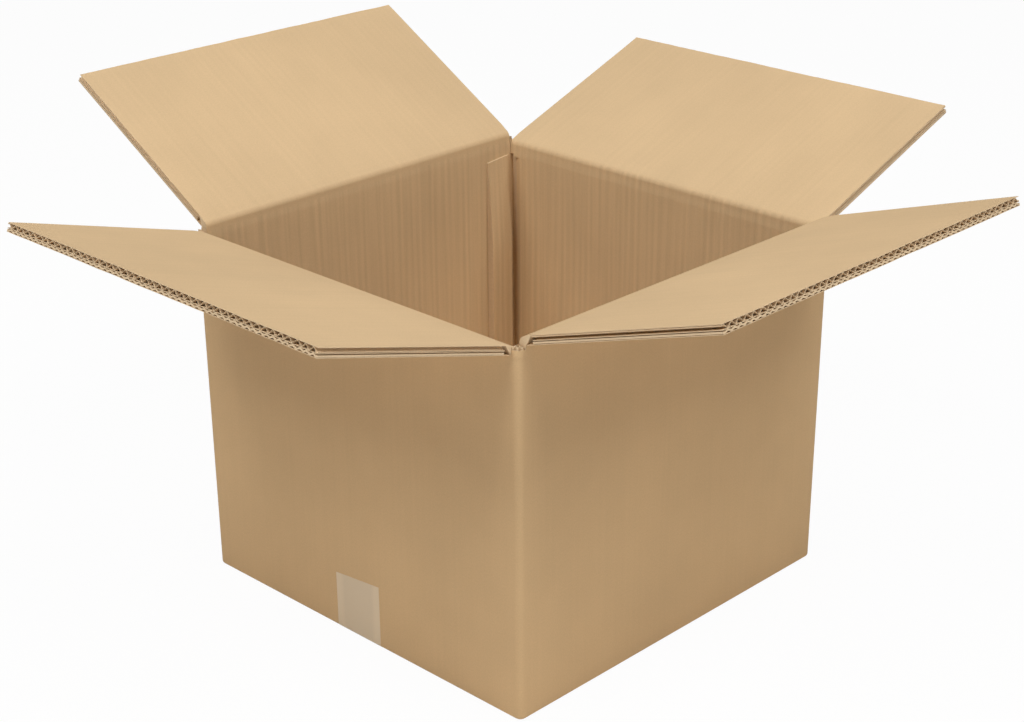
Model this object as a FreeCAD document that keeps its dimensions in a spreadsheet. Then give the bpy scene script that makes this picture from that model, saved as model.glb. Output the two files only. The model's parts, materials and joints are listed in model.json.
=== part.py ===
import FreeCAD, Part
import math
import os
import Sketcher

# Open shipping carton of double-wall corrugated board, in millimetres.
# The origin is the centre of the base on the floor. The end walls face -Y and +Y and carry the
# inner (minor) flaps, the side walls face -X and +X and carry the outer (major) flaps.

# Name, value, what it is.
SIZES = [
    ("width", 356.0, "outside size along X"),
    ("depth", 356.0, "outside size along Y"),
    ("crease_height", 292.0, "floor to the fold line of the inner top flaps"),
    ("board", 7.0, "thickness of the double-wall board"),
    ("liner", 0.4, "thickness of each of the three liners"),
    ("small_flute", 2.4, "height of the small flute, next to the outside liner"),
    ("small_pitch", 6.4, "pitch of the small flute"),
    ("large_pitch", 7.8, "pitch of the large flute, next to the inside liner"),
    ("medium", 0.35, "thickness of the fluting paper"),
    ("flute_margin", 6.0, "solid board left at the cut sides of a flap"),
    ("crease_margin", 14.0, "crushed board left solid beside a fold"),
    ("fold_gap", 0.3, "clearance between board faces that fold against each other"),
    ("seam_gap", 1.5, "gap between two flaps that meet in the middle"),
    ("slot_drop", 2.0, "depth of the corner slots below the outer flaps' fold line"),
    ("corner_radius", 5.5, "outside radius of the upright folds"),
    ("base_radius", 3.0, "outside radius of the bottom folds"),
    ("joint_gap", 4.0, "gap at the maker's joint, outside the back left corner"),
    ("tab_width", 30.0, "glue tab, measured from the inside corner"),
    ("tab_taper", 5.0, "slant of the glue tab's ends, degrees"),
    ("tab_drop", 0.5, "glue tab below the closed inner flap"),
    ("front_angle", 16.4, "front flap above horizontal, degrees"),
    ("right_angle", 18.1, "right flap above horizontal, degrees"),
    ("back_angle", 20.1, "back flap above horizontal, degrees"),
    ("left_angle", 30.2, "left flap above horizontal, degrees"),
    ("tape_width", 50.0, "sealing tape"),
    ("tape_thickness", 0.1, "sealing tape"),
    ("tape_rise", 52.0, "height of the tape's ends on the end walls"),
    ("tape_margin", 0.5, "pressed board on each side of the tape, which lies flush in the bottom"),
    ("overrun", 2.0, "how far a cutting profile runs past what it cuts"),
]

doc = FreeCAD.newDocument("Carton")
sheet = doc.addObject("Spreadsheet::Sheet", "Dimensions")
for row, (alias, size, meaning) in enumerate(SIZES, start=2):
    sheet.set(f"A{row}", alias)
    sheet.set(f"B{row}", str(size))
    sheet.set(f"C{row}", meaning)
    sheet.setAlias(f"B{row}", alias)
doc.recompute()

# Expressions for the sizes of the sheet, and for what follows from them.
(WIDTH, DEPTH, CREASE, BOARD, LINER, SMALL_FLUTE, SMALL_PITCH, LARGE_PITCH, MEDIUM, FLUTE_MARGIN,
 CREASE_MARGIN, GAP, SEAM, SLOT_DROP, CORNER_RADIUS, BASE_RADIUS, JOINT_GAP, TAB_WIDTH, TAB_TAPER,
 TAB_DROP, FRONT_ANGLE, RIGHT_ANGLE, BACK_ANGLE, LEFT_ANGLE, TAPE_WIDTH, TAPE, TAPE_RISE,
 TAPE_MARGIN, OVERRUN) = [f"Dimensions.{alias}" for alias, size, meaning in SIZES]

HALF_X = f"({WIDTH} / 2)"
HALF_Y = f"({DEPTH} / 2)"
INNER_X = f"({HALF_X} - {BOARD})"
INNER_Y = f"({HALF_Y} - {BOARD})"
# The outer flaps fold one board above the inner ones, so that they close on top of them.
UPPER_CREASE = f"({CREASE} + {BOARD} + {GAP})"
# Each flap stops short of the corner, so that it closes between the two walls beside it.
RECESS = f"({BOARD} + {GAP})"
# The mitred faces at a fold stand off the 45 degree line by half the fold gap.
MITRE = f"({GAP} * sqrt(2) / 2)"
SLOT_FLOOR = f"({UPPER_CREASE} - {SLOT_DROP})"
INNER_FLOOR = f"({BOARD} + {GAP})"
INSIDE_FLOOR = f"({INNER_FLOOR} + {BOARD})"
# Half the straight part of the bottom between its folds, and the top of a fold under the tape.
FLAT_Y = f"({HALF_Y} - {BASE_RADIUS})"
FOLD_TOP = f"({BASE_RADIUS} + {TAPE})"


def value(expression):
    """The number that an expression gives with the present sizes."""
    return float(sheet.evalExpression(str(expression)))


def negative(expression):
    return f"-({expression})"


def new_body(name):
    body = doc.addObject("PartDesign::Body", name)
    body.Label = name
    return body


def new_sketch(body, name, plane, offset=None):
    """A sketch on one of the body's origin planes, moved along the plane's normal by offset."""
    sketch = body.newObject("Sketcher::SketchObject", name)
    support = next(f for f in body.Origin.OriginFeatures if f.Role == plane)
    sketch.AttachmentSupport = [(support, "")]
    sketch.MapMode = "FlatFace"
    if offset is not None:
        sketch.setExpression("AttachmentOffset.Base.z", offset)
    return sketch


def bind_point(sketch, line, point, expressions):
    """Ties one end of a line to its place, measured from the sketch's origin."""
    for kind, expression in zip(("DistanceX", "DistanceY"), expressions):
        index = sketch.addConstraint(
            Sketcher.Constraint(kind, -1, 1, line, point, value(expression)))
        sketch.setExpression(f"Constraints[{index}]", expression)


def quarter_arc(start, end, radius):
    """An arc from start to end, and the ends' numbers on it. A negative radius turns clockwise."""
    chord = end - start
    reach = math.sqrt(max(radius ** 2 - chord.Length ** 2 / 4, 0))
    side = FreeCAD.Vector(-chord.y, chord.x, 0).normalize() * math.copysign(reach, radius)
    centre = (start + end) * 0.5 + side
    first, last = (start, end) if radius > 0 else (end, start)
    angles = [math.atan2(p.y - centre.y, p.x - centre.x) for p in (first, last)]
    circle = Part.Circle(centre, FreeCAD.Vector(0, 0, 1), abs(radius))
    return Part.ArcOfCircle(circle, *angles), (1, 2) if radius > 0 else (2, 1)


def add_loop(sketch, points, arcs=None):
    """A closed outline through points given as pairs of expressions.

    The outline is straight from point to point. An entry of arcs gives the radius of the quarter
    arc that starts at that point instead, and whether it turns left (1) or right (-1).
    """
    arcs = arcs or {}
    corners = [FreeCAD.Vector(value(x), value(y), 0) for x, y in points]
    pieces = []
    for i, (start, end) in enumerate(zip(corners, corners[1:] + corners[:1])):
        if i in arcs:
            radius, turn = arcs[i]
            curve, ends = quarter_arc(start, end, value(radius) * turn)
            pieces.append((sketch.addGeometry(curve, False), *ends))
            continue
        pieces.append((sketch.addGeometry(Part.LineSegment(start, end), False), 1, 2))
    for (line, _, end), (following, start, _) in zip(pieces, pieces[1:] + pieces[:1]):
        sketch.addConstraint(Sketcher.Constraint("Coincident", line, end, following, start))
    for (line, start, _), point in zip(pieces, points):
        bind_point(sketch, line, start, point)
    for i, (radius, _) in arcs.items():
        index = sketch.addConstraint(
            Sketcher.Constraint("Radius", pieces[i][0], value(radius)))
        sketch.setExpression(f"Constraints[{index}]", radius)


def mirrored(points):
    """The same outline on the other side of the sketch's vertical axis."""
    return [(negative(x), y) for x, y in reversed(points)]


def rectangle(x_low, x_high, y_low, y_high):
    return [(x_low, y_low), (x_high, y_low), (x_high, y_high), (x_low, y_high)]


def add_pad(body, name, sketch, length, symmetric=False):
    pad = body.newObject("PartDesign::Pad", name)
    pad.Profile = sketch
    pad.SideType = "Symmetric" if symmetric else "One side"
    pad.setExpression("Length", length)
    doc.recompute()
    return pad


def add_pocket(body, name, sketch, length, symmetric=False, backwards=False):
    """A pocket that must take material away."""
    before = body.Shape.Volume
    pocket = body.newObject("PartDesign::Pocket", name)
    pocket.Profile = sketch
    pocket.SideType = "Symmetric" if symmetric else "One side"
    pocket.Reversed = backwards
    pocket.setExpression("Length", length)
    doc.recompute()
    if not body.Shape.Volume < before:
        raise ValueError(f"{name} cuts nothing")
    return pocket


def add_fillet(body, name, edges, radius):
    """Rounds the edges of the body's tip that the test picks."""
    base = body.Tip
    names = [f"Edge{i}" for i, edge in enumerate(base.Shape.Edges, start=1) if edges(edge)]
    fillet = body.newObject("PartDesign::Fillet", name)
    fillet.Base = (base, names)
    fillet.setExpression("Radius", radius)
    doc.recompute()
    return fillet


def is_near(a, b):
    return abs(a - b) < 1e-4


def upright_at(edge, x, y):
    """Whether an edge stands upright at the given place."""
    box = edge.BoundBox
    return (is_near(box.XMin, x) and is_near(box.XMax, x) and is_near(box.YMin, y)
            and is_near(box.YMax, y) and box.ZLength > value(BOARD))


def on_base_outline(edge):
    """Whether an edge is part of the outer outline where the walls meet the floor."""
    box = edge.BoundBox
    outside = (is_near(abs(box.XMin), value(HALF_X)) and is_near(abs(box.XMax), value(HALF_X))
               or is_near(abs(box.YMin), value(HALF_Y)) and is_near(abs(box.YMax), value(HALF_Y)))
    return is_near(box.ZMax, 0) and outside


def mitre_profile(half, crease):
    """What is cut off above one wall: a 45 degree mitre that falls towards the inside."""
    top = f"({crease} - {MITRE})"
    far = f"({half} + {OVERRUN})"
    near = f"({half} - {BOARD} - {OVERRUN})"
    return [
        (far, f"{top} + {OVERRUN}"),
        (near, f"{top} - {BOARD} - {OVERRUN}"),
        (near, f"{UPPER_CREASE} + {OVERRUN}"),
        (far, f"{UPPER_CREASE} + {OVERRUN}"),
    ]


def build_walls(body):
    """The four walls as one ring, with each wall's top cut to its fold line."""
    ring = new_sketch(body, "wall_outline", "XY_Plane")
    add_loop(ring, rectangle(negative(HALF_X), HALF_X, negative(HALF_Y), HALF_Y))
    add_loop(ring, rectangle(negative(INNER_X), INNER_X, negative(INNER_Y), INNER_Y))
    add_pad(body, "walls", ring, UPPER_CREASE)

    end_cut = new_sketch(body, "end_wall_top", "YZ_Plane")
    add_loop(end_cut, mitre_profile(HALF_Y, CREASE))
    add_loop(end_cut, mirrored(mitre_profile(HALF_Y, CREASE)))
    add_pocket(body, "end_wall_mitre", end_cut, f"{WIDTH} - 2 * {BOARD}", symmetric=True)

    side_cut = new_sketch(body, "side_wall_top", "XZ_Plane")
    add_loop(side_cut, mitre_profile(HALF_X, UPPER_CREASE))
    add_loop(side_cut, mirrored(mitre_profile(HALF_X, UPPER_CREASE)))
    add_pocket(body, "side_wall_mitre", side_cut, f"{DEPTH} - 2 * {BOARD}", symmetric=True)

    slots = new_sketch(body, "corner_slots", "XY_Plane", SLOT_FLOOR)
    for x_side in ("", "-1 * "):
        for y_side in ("", "-1 * "):
            add_loop(slots, rectangle(
                f"{x_side}{INNER_X}", f"{x_side}({HALF_X} + {OVERRUN})",
                f"{y_side}{INNER_Y}", f"{y_side}({HALF_Y} + {OVERRUN})"))
    add_pocket(body, "slots", slots, f"{UPPER_CREASE} - {SLOT_FLOOR} + {OVERRUN}", backwards=True)


def build_bottom(body):
    """The closed bottom: the side walls' flaps below, the end walls' flaps on top of them."""
    outer = new_sketch(body, "outer_bottom_outline", "XZ_Plane")
    outer_flap = rectangle(f"{SEAM} / 2", INNER_X, "0", BOARD)
    add_loop(outer, outer_flap)
    add_loop(outer, mirrored(outer_flap))
    add_pad(body, "outer_bottom_flaps", outer, f"{DEPTH} - 2 * {RECESS}", symmetric=True)

    inner = new_sketch(body, "inner_bottom_outline", "YZ_Plane")
    inner_flap = rectangle(f"{SEAM} / 2", INNER_Y, INNER_FLOOR, INSIDE_FLOOR)
    add_loop(inner, inner_flap)
    add_loop(inner, mirrored(inner_flap))
    add_pad(body, "inner_bottom_flaps", inner, f"{WIDTH} - 2 * {RECESS}", symmetric=True)


def build_glue_tab(body):
    """The tab that folds off the back wall and is glued inside the left wall."""
    free_edge = f"({INNER_Y} - {TAB_WIDTH})"
    slant = f"({TAB_WIDTH} * tan({TAB_TAPER} * 1 deg))"
    low = f"({INSIDE_FLOOR} + {GAP})"
    high = f"({CREASE} - {BOARD} - {TAB_DROP})"
    tab = new_sketch(body, "glue_tab_outline", "YZ_Plane", negative(INNER_X))
    add_loop(tab, [
        (free_edge, f"{low} + {slant}"),
        (INNER_Y, low),
        (INNER_Y, high),
        (free_edge, f"{high} - {slant}"),
    ])
    add_pad(body, "glue_tab", tab, BOARD)


def build_makers_joint(body):
    """The left wall's cut edge stops short of the back wall, whose fold runs into the tab."""
    left = negative(f"{HALF_X} + {OVERRUN}")
    cut_edge = f"({HALF_Y} - {JOINT_GAP})"
    fold_start = f"({JOINT_GAP} - {INNER_X})"
    back = f"({HALF_Y} + {OVERRUN})"
    outline = new_sketch(body, "joint_outline", "XY_Plane", negative(OVERRUN))
    add_loop(outline, [
        (left, cut_edge),
        (negative(INNER_X), cut_edge),
        (fold_start, HALF_Y),
        (fold_start, back),
        (left, back),
    ], arcs={1: (JOINT_GAP, -1)})
    add_pocket(body, "joint_cut", outline, f"{UPPER_CREASE} + 2 * {OVERRUN}", backwards=True)


def build_folds(body):
    """The rounded upright folds and bottom folds."""
    x, y = value(HALF_X), value(HALF_Y)
    places = [(-x, -y), (x, -y), (x, y)]
    add_fillet(body, "upright_folds",
               lambda edge: any(upright_at(edge, *place) for place in places), CORNER_RADIUS)
    add_fillet(body, "bottom_folds", on_base_outline, BASE_RADIUS)


def build_tape_bed(body):
    """The shallow bed that the tape is pressed into, under the bottom and round its folds."""
    low = negative(OVERRUN)
    far = f"({HALF_Y} + {OVERRUN})"
    outline = new_sketch(body, "tape_bed_outline", "YZ_Plane")
    add_loop(outline, [
        (negative(HALF_Y), FOLD_TOP),
        (negative(FLAT_Y), TAPE),
        (FLAT_Y, TAPE),
        (HALF_Y, FOLD_TOP),
        (far, FOLD_TOP),
        (far, low),
        (negative(far), low),
        (negative(far), FOLD_TOP),
    ], arcs={0: (BASE_RADIUS, 1), 2: (BASE_RADIUS, 1)})
    add_pocket(body, "tape_bed", outline, f"{TAPE_WIDTH} + 2 * {TAPE_MARGIN}", symmetric=True)


def build_carton():
    body = new_body("carton_body")
    build_walls(body)
    build_bottom(body)
    build_glue_tab(body)
    build_folds(body)
    build_makers_joint(body)
    build_tape_bed(body)


def build_tape():
    """One strip along the bottom seam, up both end walls."""
    body = new_body("sealing_tape")
    face = f"({HALF_Y} + {TAPE})"
    outer_turn = f"({BASE_RADIUS} + {TAPE})"
    outline = new_sketch(body, "tape_section", "YZ_Plane")
    add_loop(outline, [
        (negative(HALF_Y), TAPE_RISE),
        (negative(HALF_Y), FOLD_TOP),
        (negative(FLAT_Y), TAPE),
        (FLAT_Y, TAPE),
        (HALF_Y, FOLD_TOP),
        (HALF_Y, TAPE_RISE),
        (face, TAPE_RISE),
        (face, FOLD_TOP),
        (FLAT_Y, "0"),
        (negative(FLAT_Y), "0"),
        (negative(face), FOLD_TOP),
        (negative(face), TAPE_RISE),
    ], arcs={
        1: (BASE_RADIUS, 1), 3: (BASE_RADIUS, 1),
        7: (outer_turn, -1), 9: (outer_turn, -1),
    })
    add_pad(body, "strip", outline, TAPE_WIDTH, symmetric=True)


def flute_loops(sketch, pitch, start, low, high):
    """The two gaps of one pitch of fluting, between its slanted webs."""
    half = f"({pitch} / 2 - {MEDIUM})"
    middle = f"({start} + {pitch} / 2)"
    end = f"({start} + {pitch})"
    add_loop(sketch, [
        (f"{middle} - {half}", low),
        (f"{middle} + {half}", low),
        (middle, f"{high} - {MEDIUM}"),
    ])
    add_loop(sketch, [
        (f"{end} - {half}", high),
        (end, f"{low} + {MEDIUM}"),
        (f"{end} + {half}", high),
    ])


def add_flutes(body, name, span, length, pitch, low, high):
    """A row of open flutes in the free edge of a flap, as many as its width holds."""
    room = f"({span} - 2 * {FLUTE_MARGIN})"
    count = f"floor({room} / {pitch} - 0.5)"
    start = f"(-({count} + 0.5) * {pitch} / 2)"
    sketch = new_sketch(body, f"{name}_outline", "XZ_Plane", negative(length))
    flute_loops(sketch, pitch, start, low, high)
    pocket = add_pocket(body, name, sketch, f"{length} - {CREASE_MARGIN}", backwards=True)
    row = body.newObject("PartDesign::LinearPattern", f"{name}_row")
    row.Originals = [pocket]
    row.Direction = (sketch, ["H_Axis"])
    row.Mode = "Spacing"
    row.setExpression("Offset", pitch)
    row.setExpression("Occurrences", count)
    single = body.Shape.Volume
    body.Tip = row
    doc.recompute()
    if not body.Shape.Volume < single:
        raise ValueError(f"{name} has no row")


def build_flap(name, wall, half, crease, turn, angle):
    """A top flap, drawn flat along +Y from its fold, then set on its wall at its angle."""
    span = f"({wall} - 2 * {RECESS})"
    length = f"({half} - {SEAM} / 2)"
    body = new_body(name)
    section = new_sketch(body, f"{name}_section", "YZ_Plane")
    add_loop(section, [
        (MITRE, "0"),
        (length, "0"),
        (length, BOARD),
        (f"{BOARD} + {MITRE}", BOARD),
    ])
    add_pad(body, f"{name}_board", section, span, symmetric=True)

    small_top = f"({LINER} + {SMALL_FLUTE})"
    add_flutes(body, f"{name}_small_flutes", span, length, SMALL_PITCH, LINER, small_top)
    large_low = f"({small_top} + {LINER})"
    large_top = f"({BOARD} - {LINER})"
    add_flutes(body, f"{name}_large_flutes", span, length, LARGE_PITCH, large_low, large_top)

    around = FreeCAD.Rotation(FreeCAD.Vector(0, 0, 1), turn)
    tilt = FreeCAD.Rotation(FreeCAD.Vector(1, 0, 0), value(angle))
    fold = around.multVec(FreeCAD.Vector(0, value(half), 0)) + FreeCAD.Vector(0, 0, value(crease))
    body.Placement = FreeCAD.Placement(fold, around.multiply(tilt))


def check_model():
    for obj in doc.Objects:
        if "Invalid" in obj.State or "Error" in obj.State:
            raise ValueError(f"{obj.Name} did not build")
    for body in bodies():
        if body.Shape.isNull() or not body.Shape.isValid() or len(body.Shape.Solids) != 1:
            raise ValueError(f"{body.Label} is not one sound solid")


def bodies():
    return [obj for obj in doc.Objects if obj.TypeId == "PartDesign::Body"]


build_carton()
build_tape()
build_flap("front_flap", WIDTH, HALF_Y, CREASE, 180, FRONT_ANGLE)
build_flap("back_flap", WIDTH, HALF_Y, CREASE, 0, BACK_ANGLE)
build_flap("right_flap", DEPTH, HALF_X, UPPER_CREASE, -90, RIGHT_ANGLE)
build_flap("left_flap", DEPTH, HALF_X, UPPER_CREASE, 90, LEFT_ANGLE)
doc.recompute()
check_model()

os.makedirs("parts", exist_ok=True)
for body in bodies():
    body.Shape.exportStep(f"parts/{body.Label}.step")
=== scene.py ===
import json
import math

import bmesh
import bpy
from mathutils import Matrix, Vector, noise


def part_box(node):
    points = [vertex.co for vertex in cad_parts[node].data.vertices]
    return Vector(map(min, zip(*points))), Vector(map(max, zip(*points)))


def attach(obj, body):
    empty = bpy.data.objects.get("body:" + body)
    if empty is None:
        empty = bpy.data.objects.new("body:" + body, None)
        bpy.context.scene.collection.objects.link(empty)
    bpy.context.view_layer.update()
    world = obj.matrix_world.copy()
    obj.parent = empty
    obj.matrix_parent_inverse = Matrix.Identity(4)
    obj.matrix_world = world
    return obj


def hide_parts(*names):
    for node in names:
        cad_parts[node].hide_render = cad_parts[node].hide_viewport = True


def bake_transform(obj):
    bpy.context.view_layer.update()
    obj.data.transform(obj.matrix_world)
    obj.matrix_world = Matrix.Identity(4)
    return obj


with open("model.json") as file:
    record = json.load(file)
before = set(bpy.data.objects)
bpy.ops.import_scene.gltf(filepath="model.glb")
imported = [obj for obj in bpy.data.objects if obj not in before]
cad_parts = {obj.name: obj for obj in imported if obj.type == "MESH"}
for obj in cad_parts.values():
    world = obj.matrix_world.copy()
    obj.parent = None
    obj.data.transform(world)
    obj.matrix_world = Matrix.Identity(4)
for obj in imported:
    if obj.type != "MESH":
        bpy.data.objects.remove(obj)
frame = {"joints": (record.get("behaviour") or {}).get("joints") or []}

# Open shipping carton of double-wall board. Lengths are in metres.
# Every piece carries its place on the flat sheet, before folding, in the attribute "blank":
# x runs round the walls, y runs up the sheet along the flutes, z is the depth from the outside.
# On the top flaps, y starts at FLAP_START.

bl_info = {
    "name": "Open shipping carton",
    "version": (1, 0, 0),
    "blender": (4, 5, 0),
    "location": "View3D > Sidebar > Carton",
    "description": "Dresses the folding carton with corrugated board, folds and tape",
    "category": "Add Mesh",
}

MM = 0.001
# Edges sharper than this are shaded as edges.
SHARP = math.radians(34)
FLAP_START = 0.3
TOP_OF_WALLS = 0.297
# Places in a piece's list of materials.
OUTSIDE, INSIDE, FLUTING = 0, 1, 2
BODY_LOW, BODY_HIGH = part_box("carton_body")
JOINTS = {joint["name"]: joint for joint in frame["joints"]}
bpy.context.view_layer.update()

# Wall name: outward direction, flap node, flap body, joint.
WALLS = {
    "left": ((-1, 0), "left_flap", "flap_left", "left_fold"),
    "front": ((0, -1), "front_flap", "flap_front", "front_fold"),
    "right": ((1, 0), "right_flap", "flap_right", "right_fold"),
    "back": ((0, 1), "back_flap", "flap_back", "back_fold"),
}


def length(name, description, default):
    return bpy.props.FloatProperty(
        name=name, description=description, default=default, min=0, unit="LENGTH",
        subtype="DISTANCE", precision=5)


def angle(name, description, degrees):
    return bpy.props.FloatProperty(
        name=name, description=description, default=math.radians(degrees), unit="ROTATION",
        subtype="ANGLE")


def colour(name, description, default):
    return bpy.props.FloatVectorProperty(
        name=name, description=description, default=default, size=4, min=0, max=1,
        subtype="COLOR")


class CartonBoard(bpy.types.PropertyGroup):
    """The double-wall board."""
    thickness: length("Thickness", "The whole board", 7.0 * MM)
    liner: length("Liner", "Each of the three liners", 0.4 * MM)
    medium: length("Fluting paper", "The paper of both flutes", 0.35 * MM)
    small_flute: length("Small flute", "Height of the flute next to the outside", 2.4 * MM)
    small_pitch: length("Small pitch", "From crest to crest of the small flute", 6.4 * MM)
    large_pitch: length("Large pitch", "From crest to crest of the large flute", 7.8 * MM)
    crushed: length("Crushed strip", "Board pressed thinner beside a fold", 9.0 * MM)
    wear: length("Wear", "How far the flaps' free edges are frayed", 0.9 * MM)
    outside: colour("Outside liner", "Kraft paper", (0.675, 0.455, 0.24, 1))
    inside: colour("Inside liner", "Kraft paper", (0.655, 0.468, 0.268, 1))
    fluting: colour("Fluting", "The paper inside the board", (0.72, 0.54, 0.34, 1))


class CartonFolds(bpy.types.PropertyGroup):
    """How the box is folded."""
    corner_radius: length("Corner radius", "Outside radius of the upright folds", 5.5 * MM)
    base_radius: length("Base radius", "Outside radius of the bottom folds", 3.0 * MM)
    joint_gap: length("Joint gap", "The maker's joint, outside the back left corner", 4.0 * MM)
    slot_drop: length("Slot depth", "Corner slots below the outer flaps' folds", 2.0 * MM)
    inner_fold: length("Inner folds", "Board left at the end walls' folds", 6.4 * MM)
    outer_fold: length("Outer folds", "Board left at the side walls' folds", 6.4 * MM)
    fold_room: length("Fold room", "Board of the fold beyond its mitre on both sides", 0.8 * MM)
    seam: length("Seam", "Gap between flaps that meet in the middle", 1.5 * MM)
    play: length("Play", "Gap between boards that fold against each other", 0.3 * MM)
    front: angle("Front flap", "Angle above horizontal", 16.4)
    right: angle("Right flap", "Angle above horizontal", 18.1)
    back: angle("Back flap", "Angle above horizontal", 20.1)
    left: angle("Left flap", "Angle above horizontal", 30.2)
    tab_width: length("Glue tab", "From the inside corner", 30.0 * MM)
    tab_taper: angle("Tab taper", "Slant of the tab's ends", 5.0)
    tab_groove: length("Tab groove", "Crushed board beside the back wall", 4.5 * MM)
    tab_edge: length("Tab edge", "Board left at the tab's top", 1.5 * MM)
    tab_thinning: length("Tab thinning", "How far down the tab gets its full board", 80 * MM)


class CartonTape(bpy.types.PropertyGroup):
    """The strip of packing tape."""
    width: length("Width", "Across the strip", 50.0 * MM)
    thickness: length("Thickness", "Film and glue", 0.1 * MM)
    rise: length("Rise", "Height of its ends on the end walls", 52.0 * MM)
    skew: length("Skew", "How far a cut end slants", 5.0 * MM)
    film: colour("Film", "The tape over the board", (0.72, 0.575, 0.40, 1))


def board():
    return bpy.context.scene.carton_board


def folds():
    return bpy.context.scene.carton_folds


def half_width():
    return (BODY_HIGH.x - BODY_LOW.x) / 2


def inner_half():
    return half_width() - board().thickness


def fold_height(wall):
    """Height of a wall's top fold line."""
    return JOINTS[WALLS[wall][3]]["pos_m"][2]


def slot_floor():
    return fold_height("left") - folds().slot_drop


def ring_top():
    """Where the plain walls end and the strips pressed beside the folds begin."""
    return fold_height("front") - board().crushed - 1 * MM


def fold_board(wall):
    """What the press leaves of the board at a wall's top fold."""
    return folds().inner_fold if wall in ("front", "back") else folds().outer_fold


def pressed(distance, left_over):
    """Thickness of the board at a distance from a fold."""
    share = min(max(distance / board().crushed, 0), 1)
    share = share * share * (3 - 2 * share)
    return left_over + (board().thickness - left_over) * share


# ---------------------------------------------------------------- meshes


class Sheet:
    """Collects closed slabs of board, with their place on the flat sheet."""

    def __init__(self):
        self.points = []
        self.blank = []
        self.faces = []
        self.slots = []
        self.smooth = []

    def grid(self, rows):
        """Adds a grid of (point, blank) and returns its indices."""
        indices = []
        for row in rows:
            indices.append(list(range(len(self.points), len(self.points) + len(row))))
            self.points.extend(Vector(point) for point, _ in row)
            self.blank.extend(Vector(place) for _, place in row)
        return indices

    def face(self, corners, slot, smooth):
        self.faces.append(corners)
        self.slots.append(slot)
        self.smooth.append(smooth)

    def slab(self, outer, inner, slots=(OUTSIDE, INSIDE, FLUTING)):
        """A closed slab between two grids. Seen from outside, rows go right and columns up.

        slots holds the materials of the outer grid, the inner grid and the rim.
        """
        a, b = self.grid(outer), self.grid(inner)
        rows, columns = len(a), len(a[0])
        for i in range(rows - 1):
            for j in range(columns - 1):
                self.face((a[i][j], a[i + 1][j], a[i + 1][j + 1], a[i][j + 1]), slots[0], True)
                self.face((b[i][j], b[i][j + 1], b[i + 1][j + 1], b[i + 1][j]), slots[1], True)
        for i in range(rows - 1):
            self.face((b[i][0], b[i + 1][0], a[i + 1][0], a[i][0]), slots[2], False)
            self.face((a[i][-1], a[i + 1][-1], b[i + 1][-1], b[i][-1]), slots[2], False)
        for j in range(columns - 1):
            self.face((a[0][j], a[0][j + 1], b[0][j + 1], b[0][j]), slots[2], False)
            self.face((a[-1][j], b[-1][j], b[-1][j + 1], a[-1][j + 1]), slots[2], False)

    def make(self, name, materials, body=None):
        mesh = bpy.data.meshes.new(name)
        mesh.from_pydata(self.points, [], self.faces)
        mesh.polygons.foreach_set("material_index", self.slots)
        mesh.polygons.foreach_set("use_smooth", self.smooth)
        attribute = mesh.attributes.new("blank", "FLOAT_VECTOR", "POINT")
        attribute.data.foreach_set("vector", [c for place in self.blank for c in place])
        for material in materials:
            mesh.materials.append(material)
        work = bmesh.new()
        work.from_mesh(mesh)
        bmesh.ops.recalc_face_normals(work, faces=work.faces)
        work.to_mesh(mesh)
        work.free()
        mesh.set_sharp_from_angle(angle=SHARP)
        mesh.update()
        piece = bpy.data.objects.new(name, mesh)
        bpy.context.scene.collection.objects.link(piece)
        if body:
            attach(piece, body)
        return piece


def spaced(start, end, count):
    """Evenly spaced numbers, both ends included."""
    return [start + (end - start) * i / count for i in range(count + 1)]


def box_slab(sheet, low, high, blank_origin):
    """A flat slab of bottom board. blank_origin is where the flat sheet's x and y start."""
    def rows(z, depth):
        return [[((x, y, z), (blank_origin[0] + x, blank_origin[1] + y, depth))
                 for y in spaced(low[1], high[1], 6)]
                for x in spaced(high[0], low[0], 6)]
    sheet.slab(rows(low[2], 0), rows(high[2], board().thickness))


# Outward direction and direction along the sheet: left, front, right, back.
SIDES = [((-1, 0), (0, -1)), ((0, -1), (1, 0)), ((1, 0), (0, 1)), ((0, 1), (-1, 0))]
# The maker's joint is creased deep beside the tab: how far out and how far along.
JOINT_CREASE = (3.2 * MM, 4.6 * MM)


def side_steps(number, start, end, count):
    """Steps along a side: (outside point, outward direction, inside point, sheet distance)."""
    out, along = Vector(SIDES[number][0]), Vector(SIDES[number][1])
    half, inner = half_width(), inner_half()
    lowest = -inner if number else start
    return [(out * half + along * place, out,
             out * inner + along * min(max(place, lowest), inner),
             (2 * number + 1) * half + place) for place in spaced(start, end, count)]


def corner_steps(number):
    """Steps round the fold after a side. The last one is the maker's joint."""
    out, along = Vector(SIDES[number][0]), Vector(SIDES[number][1])
    half, inner, radius = half_width(), inner_half(), folds().corner_radius
    heart = (out + along) * inner
    centre = (out + along) * (half - radius)
    if number == 3:
        radius = folds().joint_gap
        heart = out * (inner + JOINT_CREASE[0]) + along * (inner - JOINT_CREASE[1])
        centre = out * (half - radius) + along * (inner - radius)
    steps = []
    edge = (2 * number + 1) * half + centre.dot(along)
    for turn in spaced(0, math.pi / 2, 10):
        direction = out * math.cos(turn) + along * math.sin(turn)
        steps.append((centre + direction * radius, direction, heart, edge + radius * turn))
    return steps


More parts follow.
